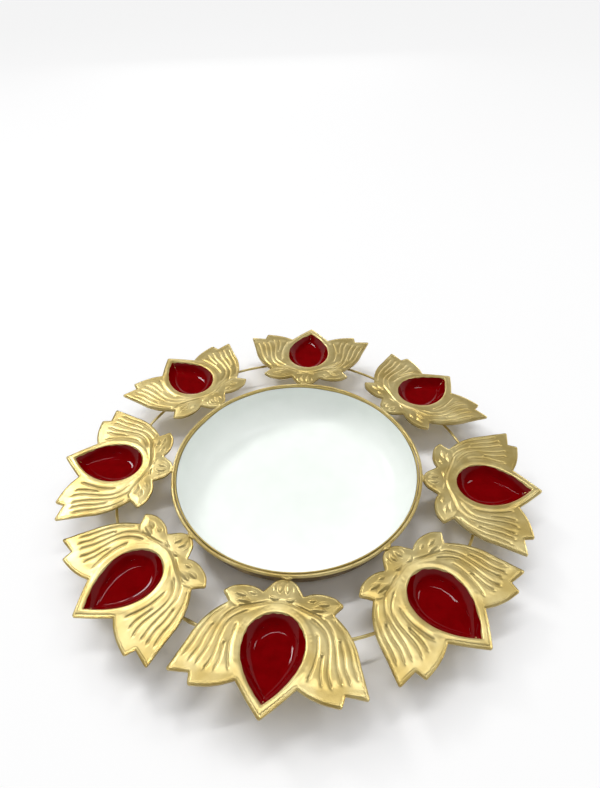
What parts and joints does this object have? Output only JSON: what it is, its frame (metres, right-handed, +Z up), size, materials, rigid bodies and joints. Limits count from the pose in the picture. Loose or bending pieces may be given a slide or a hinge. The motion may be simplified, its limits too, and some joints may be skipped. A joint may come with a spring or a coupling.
{
  "type": "urli with diyas",
  "caption": "Shallow enamelled bowl for water and flowers inside a wire-framed ring of stamped lotus plates, each drawn into a drop-shaped oil-lamp cup.",
  "frame": {"origin": "on the bowl's axis, at the flat underside of the bowl that the object stands on", "axes": "+Z up along the bowl's axis, through its mouth; -Y towards the front plate, +X towards the right plate"},
  "size_m": [0.4605, 0.4615, 0.047],
  "materials": {
    "gold_paint": "satin gold paint",
    "bronze_paint": "hammered, satin antique gold paint",
    "white_enamel": "glossy white enamel with brush waves",
    "red_enamel": "high-gloss deep red enamel"
  },
  "bodies": {
    "root": {"bowl": "bronze_paint", "bowl_enamel": "white_enamel", "rim_wire": "gold_paint", "outer_wire": "gold_paint", "front_lotus": "gold_paint", "front_cup_enamel": "red_enamel", "front_braze": "gold_paint", "front_right_lotus": "gold_paint", "front_right_cup_enamel": "red_enamel", "front_right_braze": "gold_paint", "right_lotus": "gold_paint", "right_cup_enamel": "red_enamel", "right_braze": "gold_paint", "back_right_lotus": "gold_paint", "back_right_cup_enamel": "red_enamel", "back_right_braze": "gold_paint", "back_lotus": "gold_paint", "back_cup_enamel": "red_enamel", "back_braze": "gold_paint", "back_left_lotus": "gold_paint", "back_left_cup_enamel": "red_enamel", "back_left_braze": "gold_paint", "left_lotus": "gold_paint", "left_cup_enamel": "red_enamel", "left_braze": "gold_paint", "front_left_lotus": "gold_paint", "front_left_cup_enamel": "red_enamel", "front_left_braze": "gold_paint"}
  },
  "joints": []
}
